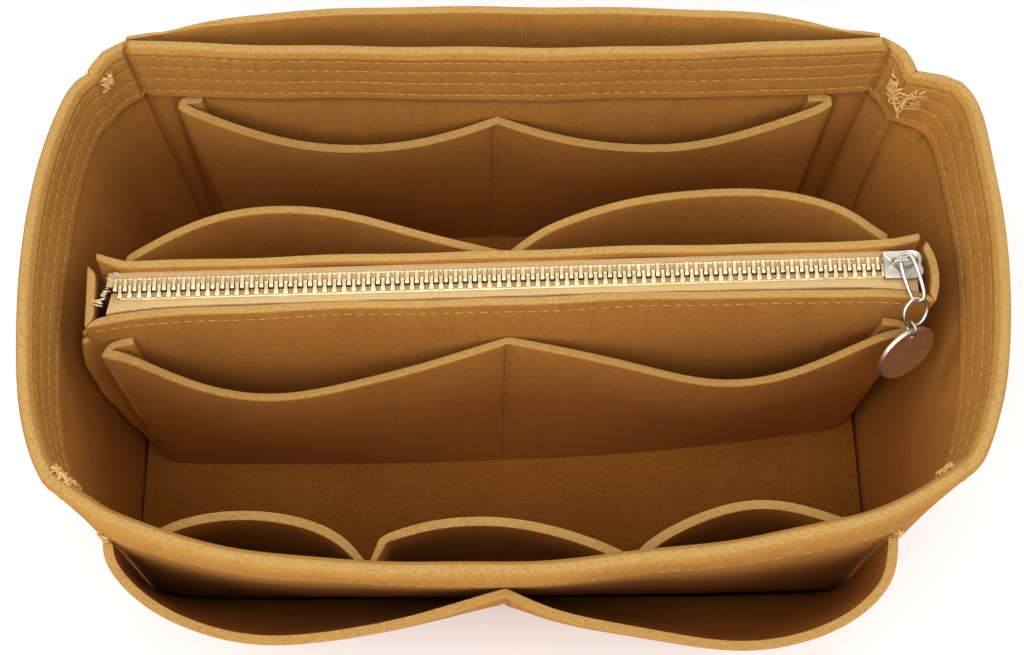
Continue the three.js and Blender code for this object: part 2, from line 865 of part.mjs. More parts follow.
// One tooth seen from above, reaching over the middle line to lock between its neighbours
function toothOutline(x, sign) {
  const shape = [
    [-toothClampHalf, toothOuter],
    [toothClampHalf, toothOuter],
    [toothNeckHalf, toothReach],
    [toothHeadHalf, -toothReach],
    [-toothHeadHalf, -toothReach],
    [-toothNeckHalf, toothReach],
  ];
  const points = shape.map(([dx, y]) => v2(x + dx, sign * y));
  return sign > 0 ? points.reverse() : points;
}

function teethRow(sign) {
  const from = zipStart + (sign > 0 ? 0 : toothPitch / 2);
  const to = from + (toothCount - 1) * toothPitch;
  const half = toothHeight / 2;
  const teeth = [];
  for (let i = 0; i < toothCount; i++) {
    teeth.push(prism(toothOutline(from + i * toothPitch, sign), pouchTop - half, pouchTop + half));
  }
  const sides = [sign * (toothOuter - beadWidth / 2), sign * rowHalf].sort((a, b) => a - b);
  const bead = block(from, to, ...sides, pouchTop - beadHeight / 2, pouchTop + beadHeight / 2);
  return join([bead, ...teeth]);
}

const lastTooth = zipStart + toothPitch / 2 + (toothCount - 1) * toothPitch;
const stopStart = lastTooth + toothClampHalf + gap;

function topStop(sign) {
  const sides = [sign * (postHalf + sliderRun), sign * toothOuter].sort((a, b) => a - b);
  const half = toothHeight / 2;
  return block(stopStart, stopStart + stopLength, ...sides, pouchTop - half, pouchTop + half);
}

// Threads whipped over the cut ends of both tapes, which close the far end of the zip
function endThread() {
  const x = (y) => tapeEndLeft + tapeEndSlant * y + gap;
  const reach = -pouchFrontTop - felt - gap;
  const z = pouchTop + tapeThickness / 2 + gap;
  const outline = [
    v2(x(-reach), -reach),
    v2(x(-reach) + endThreadWidth, -reach),
    v2(x(reach) + endThreadWidth, reach),
    v2(x(reach), reach),
  ];
  return prism(outline, z, z + endThreadHeight);
}

// Slider with its crown, about its middle on the zip's centre line

const channelHalf = toothHeight / 2 + sliderRun;
const channelSide = rowHalf + sliderRun;
const sliderTailHalf = channelSide + sliderFlange;
const sliderNoseHalf = sliderTailHalf + noseFlare;
const sliderTop = channelHalf + sliderPlate;

function sliderOutline() {
  const half = sliderLength / 2;
  const round = noseFlare * 2;
  const shape = new THREE.Shape();
  shape.moveTo(-half, -sliderTailHalf);
  shape.lineTo(0, -sliderTailHalf);
  shape.lineTo(half * 0.4, -sliderNoseHalf);
  shape.quadraticCurveTo(half, -sliderNoseHalf, half, -sliderNoseHalf * 0.4);
  shape.lineTo(half - round, 0);
  shape.lineTo(half, sliderNoseHalf * 0.4);
  shape.quadraticCurveTo(half, sliderNoseHalf, half * 0.4, sliderNoseHalf);
  shape.lineTo(0, sliderTailHalf);
  shape.lineTo(-half, sliderTailHalf);
  return shape;
}

function sliderBody() {
  const whole = new THREE.ExtrudeGeometry(sliderOutline(), {
    depth: 2 * sliderTop,
    bevelEnabled: false,
    curveSegments: 4,
  });
  whole.translate(0, 0, -sliderTop);
  const reach = sliderLength;
  const slotHalf = tapeThickness / 2 + sliderRun;
  const channel = block(-reach, reach, -channelSide, channelSide, -channelHalf, channelHalf);
  const slot = block(-reach, reach, -reach, reach, -slotHalf, slotHalf);
  const middle = postStart + postLength / 2;
  const postEnd = postStart + postLength;
  const postOutline = [v2(postStart, 0), v2(middle, -postHalf), v2(postEnd, 0), v2(middle, postHalf)];
  const postReach = channelHalf + sliderPlate / 2;
  const post = prism(postOutline, -postReach, postReach);
  return join([cut(cut(whole, channel), slot), post, crownGeometry()]);
}

// Arch over the slider that the pull hangs from
function crownGeometry() {
  const half = crownSpan / 2;
  const inner = half - crownBar;
  const high = crownRise + crownBar;
  const foot = -sliderPlate / 2;
  const shape = new THREE.Shape();
  shape.moveTo(-half, foot);
  shape.lineTo(-half, high * 0.4);
  shape.quadraticCurveTo(-half, high, -half * 0.4, high);
  shape.lineTo(half * 0.4, high);
  shape.quadraticCurveTo(half, high, half, high * 0.4);
  shape.lineTo(half, foot);
  shape.lineTo(inner, foot);
  shape.lineTo(inner, crownRise * 0.4);
  shape.quadraticCurveTo(inner, crownRise, inner * 0.4, crownRise);
  shape.lineTo(-inner * 0.4, crownRise);
  shape.quadraticCurveTo(-inner, crownRise, -inner, crownRise * 0.4);
  shape.lineTo(-inner, foot);
  const made = new THREE.ExtrudeGeometry(shape, { depth: crownWidth, bevelEnabled: false, curveSegments: 4 });
  return made.translate(0, 0, -crownWidth / 2).rotateX(Math.PI / 2).translate(0, 0, sliderTop);
}

// Pull chain. A heading is a turn to the right of straight forward and a dip below level.

function heading([turn, dip]) {
  const level = Math.cos(dip * radians);
  return v3(level * Math.sin(turn * radians), -level * Math.cos(turn * radians), -Math.sin(dip * radians));
}

// Level cross direction of a heading, turned about it by the twist
function widthOf(direction, twist) {
  const level = v3(1, 0, 0).addScaledVector(direction, -direction.x).normalize();
  return level.applyAxisAngle(direction, twist * radians);
}

// Takes a piece modelled hanging down from its pivot, with its width along x, to its place
function hang(geometry, direction, twist, at) {
  const up = direction.clone().negate();
  const width = widthOf(direction, twist);
  const face = up.clone().cross(width);
  geometry.applyMatrix4(new THREE.Matrix4().makeBasis(width, face, up));
  return geometry.translate(at.x, at.y, at.z);
}

// Closed loop of round wire hanging in the x, z plane, from a little above its pivot.
// Squareness 1 is an oval, and less gives straighter sides.
function wireLoop(wire, above, pivots, width, squareness) {
  const steps = 18;
  const sides = 6;
  const half = (above + pivots) / 2;
  const centres = [];
  for (let i = 0; i < steps; i++) {
    const a = (i / steps) * Math.PI * 2;
    const across = Math.sign(Math.sin(a)) * Math.abs(Math.sin(a)) ** squareness;
    centres.push(v3((across * (width - wire)) / 2, 0, Math.cos(a) * half + above - half));
  }
  const rings = centres.map((centre, i) => {
    const along = centres[(i + 1) % steps].clone().sub(centres[(i + steps - 1) % steps]).normalize();
    const out = v3(-along.z, 0, along.x);
    const ring = [];
    for (let k = 0; k < sides; k++) {
      const b = (k / sides) * Math.PI * 2;
      const rim = centre.clone().addScaledVector(out, (Math.cos(b) * wire) / 2);
      ring.push(rim.add(v3(0, (Math.sin(b) * wire) / 2, 0)));
    }
    return ring;
  });
  return loft(rings, null, true);
}

// Blank disc with a raised rim and a hole near its edge, hanging from that hole
function tagGeometry() {
  const r = tagDiameter / 2;
  const half = tagThickness / 2;
  const crest = half + tagRimRise;
  const profile = [
    v2(0, -half),
    v2(r - tagRim, -half),
    v2(r - tagRim / 2, -crest),
    v2(r, -half / 2),
    v2(r, half / 2),
    v2(r - tagRim / 2, crest),
    v2(r - tagRim, half),
    v2(0, half),
  ];
  const disc = new THREE.LatheGeometry(profile, 28).translate(0, 0, tagHoleIn - r);
  const hole = new THREE.CylinderGeometry(tagHole / 2, tagHole / 2, tagThickness * 4, 12);
  const slack = tagHole / 2 - tagRingWire / 2 - gap;
  return cut(disc, hole).translate(0, 0, -slack);
}

function pullPieces() {
  const [linkWay, ringWay, tagWay] = [linkHeading, ringHeading, tagHeading].map(heading);
  const crownAt = v3(0, 0, sliderTop + crownRise + crownBar / 2);
  const linkEnd = crownAt.clone().addScaledVector(linkWay, linkPivots);
  const ringAt = linkEnd.addScaledVector(widthOf(linkWay, linkTwist), -ringSlip);
  const tagRingAt = ringAt.clone().addScaledVector(ringWay, ringPivots);
  const tagAt = tagRingAt.clone().addScaledVector(tagWay, tagRingPivots);
  const linkAbove = (crownWidth + linkWire) / 2 + crownRun;
  const link = wireLoop(linkWire, linkAbove, linkPivots, linkWidth, 0.4);
  const ringAbove = (linkWire + ringWire) / 2 + ringRun;
  const tagRingAbove = (ringWire + tagRingWire) / 2 + ringRun;
  const ring = wireLoop(ringWire, ringAbove, ringPivots, ringWidth, 1);
  const tagRing = wireLoop(tagRingWire, tagRingAbove, tagRingPivots, tagRingWidth, 1);
  return {
    pull_link: hang(link, linkWay, linkTwist, crownAt),
    pull_ring: hang(ring, ringWay, ringTwist, ringAt),
    tag_ring: hang(tagRing, tagWay, tagFace + 90, tagRingAt),
    pull_tag: hang(tagGeometry(), tagWay, tagFace, tagAt),
  };
}

// The whole organizer

const meshes = (pieces, material) => Object.entries(pieces).map(([name, made]) => mesh(name, made, material));

function tubGroup() {
  const hemmed = wallSection(0, rimHeight, true);
  const felts = {
    base_panel: floorPanel(tub, 0),
    front_panel: panelGeometry(tub, "front", hemmed),
    right_side_panel: panelGeometry(tub, "right", hemmed),
    rear_lining_panel: panelGeometry(tub, "lining", hemmed),
    left_side_panel: panelGeometry(tub, "left", hemmed),
    rear_outer_panel: rearOuterPanel(),
    rear_wall_pocket: rearWallPocket(),
    front_inner_pocket: frontInnerPocket(),
    front_outer_pocket: frontOuterPocket(),
  };
  return new THREE.Group().add(...meshes(felts, colours.felt), ...meshes(tubTacks(), colours.thread));
}

function pouchGroup() {
  const end = cutSection(pouchFloor, pouchTop);
  const felts = {
    pouch_front_panel: panelGeometry(pouch, "front", end),
    pouch_right_gusset: panelGeometry(pouch, "right", end),
    pouch_rear_panel: panelGeometry(pouch, "rear", cutSection(pouchFloor, pouchTop + rearLip)),
    pouch_left_gusset: panelGeometry(pouch, "left", end),
    pouch_bottom_panel: floorPanel(pouch, pouchFloor),
    pouch_front_pocket: pouchFrontPocket(),
    pouch_rear_pocket: pouchRearPocket(),
  };
  const tapes = {
    zip_tape_front: tapeGeometry("front", -1),
    zip_tape_rear: tapeGeometry("rear", 1),
  };
  const metal = {
    zip_teeth_front: teethRow(-1),
    zip_teeth_rear: teethRow(1),
    zip_stop_front: topStop(-1),
    zip_stop_rear: topStop(1),
  };
  const group = new THREE.Group();
  group.position.set(pouchX, pouchY, 0);
  group.rotation.z = pouchTurn * radians;
  group.add(...meshes(felts, colours.felt), ...meshes(tapes, colours.tape), ...meshes(metal, colours.metal));
  group.add(mesh("zip_end_thread", endThread(), colours.tape), sliderGroup());
  return group;
}

function sliderGroup() {
  const group = new THREE.Group();
  group.position.set(stopStart - postStart, 0, pouchTop);
  group.add(mesh("zip_slider", sliderBody(), colours.metal), ...meshes(pullPieces(), colours.metal));
  return group;
}

export default new THREE.Group().add(tubGroup(), pouchGroup());
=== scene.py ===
"""A felt bag organizer insert with a zip pouch: camel felt, sand zip tape, pale gold zip and silver pull."""
import math
import random
import bpy
import bmesh
import numpy as np
from mathutils import Matrix, Vector
from mathutils.bvhtree import BVHTree


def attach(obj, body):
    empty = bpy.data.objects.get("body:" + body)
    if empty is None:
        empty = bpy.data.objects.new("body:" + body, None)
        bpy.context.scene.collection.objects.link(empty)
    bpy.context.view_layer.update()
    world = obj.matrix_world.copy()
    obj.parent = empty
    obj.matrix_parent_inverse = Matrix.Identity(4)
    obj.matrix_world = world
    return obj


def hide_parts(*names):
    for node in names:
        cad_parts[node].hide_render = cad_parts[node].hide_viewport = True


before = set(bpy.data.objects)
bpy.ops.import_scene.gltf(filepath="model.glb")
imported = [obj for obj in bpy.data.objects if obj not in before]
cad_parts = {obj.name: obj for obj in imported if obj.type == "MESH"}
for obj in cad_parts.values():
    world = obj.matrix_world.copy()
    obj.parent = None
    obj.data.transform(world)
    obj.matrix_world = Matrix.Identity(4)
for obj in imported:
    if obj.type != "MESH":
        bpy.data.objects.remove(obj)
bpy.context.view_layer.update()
scene = bpy.context.scene
MM = 0.001
rng = random.Random(11)

# Named sizes, in millimetres
TUB_HEIGHT = 151
RIM_BAND = 148
FOOT_BAND = 0.5
HEM_ROWS = [146.6, 140.2, 132.6, 124.6]
ROW_WIDTH = 0.8
ROW_DEPTH = 0.25
STITCH = 2.6
STITCH_STEP = 3.4
STITCH_RISE = 0.3
LONGEST_GAP = 4
THREAD = 0.2
TACK_THREAD = 0.36
END_THREAD = 0.17
CUT_EDGE = 0.6
RIM_EDGE = 2.3
FELT_GROWTH = 0.18
WIRE_GROWTH = 0.16
TEETH_GROWTH = 0.1
TAPE_EDGE = 1.35
TAPE_LOW = 129
POUCH_ROW = 126.6
POUCH_ROW_END = 137
LEFT_BULGE = 4.2
SPLIT_WIDTH = 0.8
SPLIT_DEPTH = 0.8

# The share of the rim's rounding that a wall's other edges get
RIM_SHARE = 0.42

# The tub's and the zip's middle, and the pouch's turn
TUB_MIDDLE = Vector((0, 8, 0)) * MM
ZIP_MIDDLE = (1.5, 6.6)
ZIP_TURN = math.radians(1.45)

# Rear seams: their y, x at the foot and at the top, then width and depth of the groove
SEAM_Y = 72.8
REAR_SEAMS = [(-141.5, -138.4), (141.5, 133.4)]
SEAM_WIDTH = 1.1
SEAM_DEPTH = 1.1

# Right rear corner: how far it is filled out, and its seam's lap outward, inward and back along the felt
CORNER_OUT = 3.6
LAP_OUT = 1.7
LAP_IN = 0.8
LAP_BACK = 4.0

# Rear folds: x and y at the foot and at the top, then width and depth of the groove
FOLDS = {
    "left_fold": ((-119.0, 83.2), (-125.6, 83.2), 0.75, 2.1),
    "right_fold": ((126.0, 83.2), (125.6, 83.2), 0.75, 2.1),
    "left_pocket_end": ((-115.4, 83.2), (-115.2, 83.2), 1.1, 2.2),
    "right_pocket_end": ((117.0, 83.2), (117.4, 83.2), 1.1, 2.2),
}

# Where pockets are sewn down: the x of each upright seam
SPLITS = {
    "rear_wall_pocket": [-3.0],
    "front_inner_pocket": [-43.0, 39.0],
    "front_outer_pocket": [-1.0],
    "pouch_front_pocket": [0.6],
    "pouch_rear_pocket": [1.0],
}

# Stitched seams between pockets, by body: pocket, x to look near, y to look from, and the way to look
FRONT, REAR = Vector((0, -1, 0)), Vector((0, 1, 0))
TUB_SEAMS = [
    ("rear_wall_pocket", -3, 50, REAR),
    ("front_inner_pocket", -43, -30, FRONT),
    ("front_inner_pocket", 39, -30, FRONT),
    ("front_outer_pocket", -1, -130, REAR),
]
POUCH_SEAMS = [
    ("pouch_front_pocket", 0, -60, REAR),
    ("pouch_rear_pocket", 1.5, 70, FRONT),
]
SEAM_HEIGHTS = [4 + 2.0 * i for i in range(46)]
SEAM_REACH = 5

# Level rows on the pouch: panel, x of the row's start, y to look from, and the way to look
POUCH_ROWS = [
    ("pouch_front_panel", -134, -60, REAR),
    ("pouch_rear_panel", -133, 70, FRONT),
]

# Tacks: the felts that each holds, half its width and height, its number of threads, and its shift
TACKS = {
    "rear_right_tack": (["rear_lining_panel", "right_side_panel"], 5.6, 6.8, 34, (2.0, -3.5, -2.0)),
    "front_left_tack": (["front_panel", "left_side_panel"], 4.6, 6.5, 34, (0, 0, 4.0)),
    "rear_left_tack": (["rear_lining_panel", "left_side_panel"], 2.2, 3.0, 9, (0, 0, 0)),
    "front_right_tack": (["front_panel", "right_side_panel"], 2.6, 3.2, 10, (0, 0, 0)),
    "outer_pocket_left_tack": (["front_panel"], 2.4, 3.6, 12, (0, 0, 0)),
    "outer_pocket_right_tack": (["front_panel"], 2.4, 3.6, 12, (0, 0, 0)),
}

# Cut edges at the pouch's left end: piece, felt it lies on, lowest and highest point, shift from the felt's
# side, the way it stands out, thickness and reach
EDGES = [
    ("pouch_corner_edge", "pouch_front_panel", 5, 121, (0.4, 0.2), (-0.8, -0.6, 0), 2.4, 4.4),
    ("pouch_gusset_edge", "pouch_front_panel", 5, 119, (-0.6, 3.2), (-0.95, -0.3, 0), 2.4, 3.0),
    ("pouch_pocket_edge", "pouch_front_pocket", 4, 112, (1.6, 0.6), (-0.8, -0.6, 0), 2.0, 2.4),
]
EDGE_RINGS = 29

# Camera and stage, in metres. Lights: name, place, aim, size and power in watts
CAMERA_PLACE = Vector((-8.39, -206.16, 632.55)) * MM
CAMERA_RIGHT = Vector((0.9998, -0.0124, 0.0152))
CAMERA_UP = Vector((0.006, 0.9316, 0.3635))
CAMERA_LENS = 58.634
FLOOR_REACH = 3.0
FLOOR_DROP = 0.0004
WORLD_LIGHT = 0.22
LIGHTS = [
    ("overhead", (-0.1, -0.5, 1.6), (0, 0, 0), (1.6, 1.0), 20),
    ("front", (-0.2, -1.5, 1.1), (0, 0, 0.1), (2.0, 1.0), 15),
    ("left", (-1.5, 0.0, 0.8), (0, 0, 0.1), (0.9, 0.9), 8),
    ("right", (1.5, 0.2, 0.8), (0, 0, 0.1), (0.9, 0.9), 7),
    ("back", (0.2, 1.5, 1.0), (0, 0, 0.1), (1.8, 0.8), 12),
]

WALLS = ["front_panel", "right_side_panel", "rear_lining_panel", "left_side_panel"]
TUB = WALLS + ["base_panel", "rear_outer_panel", "rear_wall_pocket", "front_inner_pocket",
               "front_outer_pocket"]
POUCH = ["pouch_front_panel", "pouch_right_gusset", "pouch_rear_panel", "pouch_left_gusset",
         "pouch_bottom_panel", "pouch_front_pocket", "pouch_rear_pocket"]


# Camera, fitted to the photograph

def make_camera():
    """The photograph's camera, 0.63 m up and looking down steeply from the front."""
    data = bpy.data.cameras.new("camera")
    data.sensor_width = 36
    data.lens = CAMERA_LENS
    data.clip_start, data.clip_end = 0.05, 20
    camera = bpy.data.objects.new("camera", data)
    right = CAMERA_RIGHT.normalized()
    back = right.cross(CAMERA_UP).normalized()
    turn = Matrix((right, back.cross(right), back)).transposed().to_4x4()
    camera.matrix_world = Matrix.Translation(CAMERA_PLACE) @ turn
    scene.collection.objects.link(camera)
    scene.camera = camera


make_camera()


# Materials

def linear(red, green, blue):
    """A display colour, 0 to 255, as a linear colour."""
    def one(v):
        v /= 255
        return v / 12.92 if v <= 0.04045 else ((v + 0.055) / 1.055) ** 2.4
    return (one(red), one(green), one(blue), 1)


BLACK, WHITE = (0, 0, 0, 1), (1, 1, 1, 1)


class Nodes:
    """A small help for building a material's node tree."""

    def __init__(self, name):
        self.material = bpy.data.materials.new(name)
        self.material.use_nodes = True
        self.tree = self.material.node_tree
        self.shader = self.tree.nodes["Principled BSDF"]
        where = self.add("ShaderNodeTexCoord")
        self.place = where.outputs["Object"]
        self.facing = where.outputs["Normal"]

    def add(self, kind, inputs=None, **settings):
        node = self.tree.nodes.new(kind)
        for key, value in settings.items():
            setattr(node, key, value)
        for key, value in (inputs or {}).items():
            if isinstance(value, bpy.types.NodeSocket):
                self.tree.links.new(value, node.inputs[key])
            else:
                node.inputs[key].default_value = value
        return node

    def stretched(self, scale, turn):
        inputs = {"Vector": self.place, "Scale": scale, "Rotation": turn}
        return self.add("ShaderNodeMapping", inputs).outputs[0]

    def noise(self, scale, detail=2.0, rough=0.5, distortion=0.0, place=None):
        inputs = {"Vector": place or self.place, "Scale": scale, "Detail": detail, "Roughness": rough,
                  "Distortion": distortion}
        return self.add("ShaderNodeTexNoise", inputs).outputs["Fac"]

    def ramp(self, value, stops):
        node = self.add("ShaderNodeValToRGB", {"Fac": value})
        ramp = node.color_ramp
        while len(ramp.elements) < len(stops):
            ramp.elements.new(0.5)
        for element, (at, colour) in zip(ramp.elements, stops):
            element.position = at
            element.color = colour
        return node.outputs["Color"]

    def mix(self, factor, a, b):
        node = self.add("ShaderNodeMix", data_type="RGBA", blend_type="MIX")
        for index, value in ((0, factor), (6, a), (7, b)):
            if isinstance(value, bpy.types.NodeSocket):
                self.tree.links.new(value, node.inputs[index])
            else:
                node.inputs[index].default_value = value
        return node.outputs[2]

    def maths(self, kind, a, b):
        return self.add("ShaderNodeMath", {0: a, 1: b}, operation=kind).outputs[0]

    def bump(self, height, distance, strength=1.0, normal=None):
        inputs = {"Height": height, "Distance": distance, "Strength": strength}
        if normal:
            inputs["Normal"] = normal
        return self.add("ShaderNodeBump", inputs).outputs["Normal"]

    def set(self, **values):
        for key, value in values.items():
            socket = self.shader.inputs[key.replace("_", " ")]
            if isinstance(value, bpy.types.NodeSocket):
                self.tree.links.new(value, socket)
            else:
                socket.default_value = value
        return self.material


def felt_colour(n, painted_light_scale):
    """The felt's colour with faint clouds and streaks, and painted shade: darker low down, lighter towards
    the rims.
    """
    def tone(*colour):
        return linear(*(painted_light_scale * each for each in colour))

    cloud = n.noise(24, 4, 0.6)
    painted_shade_tone = n.ramp(cloud, [(0.3, tone(180, 105, 28)), (0.7, tone(194, 118, 37))])
    painted_light_tone = n.ramp(cloud, [(0.3, tone(188, 130, 55)), (0.7, tone(202, 145, 67))])
    # Painted shade by height: the felt is darker low down and lighter towards the rims.
    height = n.add("ShaderNodeSeparateXYZ", {"Vector": n.place}).outputs["Z"]
    high = n.ramp(n.maths("MULTIPLY", height, 6.6), [(0.35, BLACK), (0.95, WHITE)])
    streak = n.noise(1, 3, 0.55, 0.4, n.stretched((300, 300, 40), (0, 0, 0)))
    streaks = n.maths("MULTIPLY", n.ramp(streak, [(0.5, BLACK), (0.75, WHITE)]), 0.3)
    return n.mix(streaks, n.mix(high, painted_shade_tone, painted_light_tone), tone(158, 94, 28))


def felt_fibres(n):
    """Short fibres that cross."""
    one = n.noise(1, 3, 0.6, 1.0, n.stretched((800, 2600, 2600), (0.3, 0.5, 0.4)))
    other = n.noise(1, 3, 0.6, 1.0, n.stretched((2600, 2600, 700), (0.5, -0.4, 0.8)))
    return n.maths("MAXIMUM", one, other)


def felt_material(name, painted_light_scale, painted_top_highlight):
    """Pressed felt without gloss: a fine speckle and short fibres over its colour. A painted highlight
    lightens it where it faces up, as on cut edges."""
    n = Nodes(name)
    speckle = n.noise(1350, 4, 0.72)
    fibre = felt_fibres(n)
    # Painted highlight: faces that look up are lighter, as if lit from above.
    up = n.add("ShaderNodeSeparateXYZ", {"Vector": n.facing}).outputs["Z"]
    wear_and_painted_highlight = n.maths("MULTIPLY", n.ramp(up, [(0.35, BLACK), (0.95, WHITE)]), painted_top_highlight)
    base = n.mix(wear_and_painted_highlight, felt_colour(n, painted_light_scale), linear(200, 162, 98))
    dark = n.maths("MULTIPLY", n.ramp(speckle, [(0.38, WHITE), (0.52, BLACK)]), 0.42)
    base = n.mix(dark, base, linear(136, 78, 18))
    light = n.maths("MULTIPLY", n.ramp(fibre, [(0.54, BLACK), (0.72, WHITE)]), 0.5)
    base = n.mix(light, base, linear(208, 158, 84))
    fine = n.bump(fibre, 0.0004, 0.8, n.bump(speckle, 0.0006, 0.75))
    return n.set(Base_Color=base, Normal=fine, Roughness=0.95, Sheen_Weight=0.05, Sheen_Roughness=0.5,
                 Sheen_Tint=(1.0, 0.8, 0.5, 1), Specular_IOR_Level=0.06)


def thread_material(name, dark, light):
    """Twisted sewing thread."""
    n = Nodes(name)
    twist = n.noise(1800, 2, 0.5)
    return n.set(Base_Color=n.ramp(twist, [(0.3, dark), (0.7, light)]), Normal=n.bump(twist, 0.0001, 0.6),
                 Roughness=0.55, Sheen_Weight=0.15)


def tape_material():
    """Woven zip tape: fine ribs across, in light sand."""
    n = Nodes("tape")

    def ribs(scale, distortion, direction):
        inputs = {"Vector": n.place, "Scale": scale, "Distortion": distortion, "Detail": 2}
        node = n.add("ShaderNodeTexWave", inputs, wave_type="BANDS", bands_direction=direction)
        return node.outputs["Fac"]

    weave = n.maths("MULTIPLY", ribs(520, 1.5, "X"), ribs(640, 1.0, "Y"))
    stops = [(0.0, linear(186, 150, 96)), (0.5, linear(214, 182, 128)), (1.0, linear(228, 200, 150))]
    return n.set(Base_Color=n.ramp(weave, stops), Normal=n.bump(weave, 0.00015, 0.6), Roughness=0.8,
                 Sheen_Weight=0.1)


def metal_material(name, colour, wear_and_painted_highlight, rough):
    """Plated metal with fine handling marks and a slightly duller, warmer film in places."""
    n = Nodes(name)
    film = n.noise(160, 3, 0.6)
    marks = n.noise(1500, 4, 0.7, 0.8)
    tint = n.mix(n.ramp(film, [(0.35, BLACK), (0.75, WHITE)]), colour, wear_and_painted_highlight)
    roughness = n.maths("ADD", n.maths("MULTIPLY", marks, 0.18), rough - 0.09)
    return n.set(Base_Color=tint, Metallic=1.0, Roughness=roughness, Normal=n.bump(marks, 0.00001, 0.1))


# Each felt's second value scales its colour: below 1 is painted shade, above 1 painted light. The third sets
# its painted highlight on faces that look up.
felt = felt_material("felt", 1.0, 0.85)
# Painted shade: a darker copy of the felt for the floor, without the painted top highlight.
painted_shade_floor_felt = felt_material("painted_shade_floor_felt", 0.82, 0.0)
# Painted highlight: a lighter copy of the felt for the cut edges.
painted_highlight_edge_felt = felt_material("painted_highlight_edge_felt", 1.12, 0.85)
felt_thread = thread_material("felt_thread", linear(160, 106, 44), linear(206, 156, 88))
tack_thread = thread_material("tack_thread", linear(192, 138, 58), linear(240, 202, 132))
pale_thread = thread_material("pale_thread", linear(214, 188, 140), linear(244, 228, 190))
tape = tape_material()
zip_metal = metal_material("zip_plating", linear(222, 206, 170), linear(196, 176, 134), 0.34)
pull_metal = metal_material("pull_plating", linear(196, 190, 180), linear(160, 150, 134), 0.3)
disc_metal = metal_material("disc_plating", linear(216, 200, 184), linear(196, 180, 162), 0.4)


# Pieces

def coordinates(mesh):
    """The mesh's points as an array, in metres."""
    flat = np.empty(len(mesh.vertices) * 3, np.float32)
    mesh.vertices.foreach_get("co", flat)
    return flat.reshape(-1, 3).astype(float)


def directions(mesh):
    """The mesh's directions at its points, as an array."""
    flat = np.empty(len(mesh.vertices) * 3, np.float32)
    mesh.vertices.foreach_get("normal", flat)
    return flat.reshape(-1, 3).astype(float)


def write_coordinates(mesh, points):
    mesh.vertices.foreach_set("co", points.astype(np.float32).ravel())
    mesh.update()


def applied(piece):
    """Puts the piece's modifiers into its mesh."""
    graph = bpy.context.evaluated_depsgraph_get()
    made = bpy.data.meshes.new_from_object(piece.evaluated_get(graph))
    piece.modifiers.clear()
    piece.data = made


def add_piece(name, mesh, material, body, *nodes):
    """Puts a mesh in the scene on a body, in place of the nodes that it stands for."""
    piece = bpy.data.objects.new(name, mesh)
    scene.collection.objects.link(piece)
    finish_piece(piece, material, body, *nodes)


def finish_piece(piece, material, body, *nodes):
    """Gives a piece its material and its body, and takes the place of its nodes."""
    mesh = piece.data
    mesh.materials.clear()
    mesh.materials.append(material)
    mesh.polygons.foreach_set("use_smooth", [True] * len(mesh.polygons))
    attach(piece, body)
    if nodes:
        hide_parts(*nodes)


def cage(node, round_from, fold_from, cuts=()):
    """A node's mesh as quads. Sharp convex edges get a bevel weight, and other folds stay creased."""
    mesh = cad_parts[node].data.copy()
    work = bmesh.new()
    work.from_mesh(mesh)
    bmesh.ops.remove_doubles(work, verts=work.verts, dist=2e-6)
    bmesh.ops.join_triangles(work, faces=work.faces, angle_face_threshold=0.25, angle_shape_threshold=1.2)
    for place, across in cuts:
        everything = work.verts[:] + work.edges[:] + work.faces[:]
        bmesh.ops.bisect_plane(work, geom=everything, dist=1e-5, plane_co=place, plane_no=across)
    weight = work.edges.layers.float.new("bevel_weight_edge")
    crease = work.edges.layers.float.new("crease_edge")
    for edge in work.edges:
        if len(edge.link_faces) != 2:
            continue
        angle = edge.calc_face_angle(0)
        heights = [vert.co.z / MM for vert in edge.verts]
        if edge.is_convex and angle > round_from and max(heights) > FOOT_BAND:
            edge[weight] = 1 if node not in WALLS or min(heights) > RIM_BAND else RIM_SHARE
        elif angle > fold_from:
            edge[crease] = 1
    work.to_mesh(mesh)
    work.free()
    return mesh


def rounded(node, width, levels, round_from=1.15, fold_from=0.3, cuts=(), grow=0.0):
    """A fuller copy of a node: bevelled edges, then a subdivision surface, then a little growth."""
    piece = bpy.data.objects.new(node + "_piece", cage(node, round_from, fold_from, cuts))
    scene.collection.objects.link(piece)
    bevel = piece.modifiers.new("edges", "BEVEL")
    bevel.width = width * MM
    bevel.segments = 2
    bevel.limit_method = "WEIGHT"
    if levels:
        surface = piece.modifiers.new("surface", "SUBSURF")
        surface.levels = surface.render_levels = levels
    applied(piece)
    if grow:
        write_coordinates(piece.data, coordinates(piece.data) + directions(piece.data) * grow * MM)
    return piece


def smooth_step(values, low, high):
    """0 up to the low value, 1 from the high one on, and a smooth rise between them."""
    t = np.clip((values - low) / (high - low), 0, 1)
    return t * t * (3 - 2 * t)


# Felt pieces

def wave(points):
    """A slow, even drift of the felt. Pieces that touch drift together."""
    x, y, z = points[:, 0], points[:, 1], points[:, 2]
    rise = np.clip(z / 0.15, 0, 1)[:, None]
    drift = np.stack([
        0.25 * np.sin(70 * y + 55 * z + 1.0),
        0.5 * np.sin(63 * x + 1.7) * np.sin(38 * z + 0.6) + 0.2 * np.sin(131 * x + 20 * z),
        0.35 * np.sin(47 * x + 31 * y + 0.4),
    ], axis=1)
    return points + drift * MM * rise


def press_rows(points, normals):
    """Presses the rows of hem stitching into both faces."""
    pressed = points.copy()
    level = np.abs(normals[:, 2]) < 0.5
    for height in HEM_ROWS:
        near = np.exp(-((points[:, 2] / MM - height) / ROW_WIDTH) ** 2) * level
        pressed -= normals * (near * ROW_DEPTH * MM)[:, None]
    return pressed


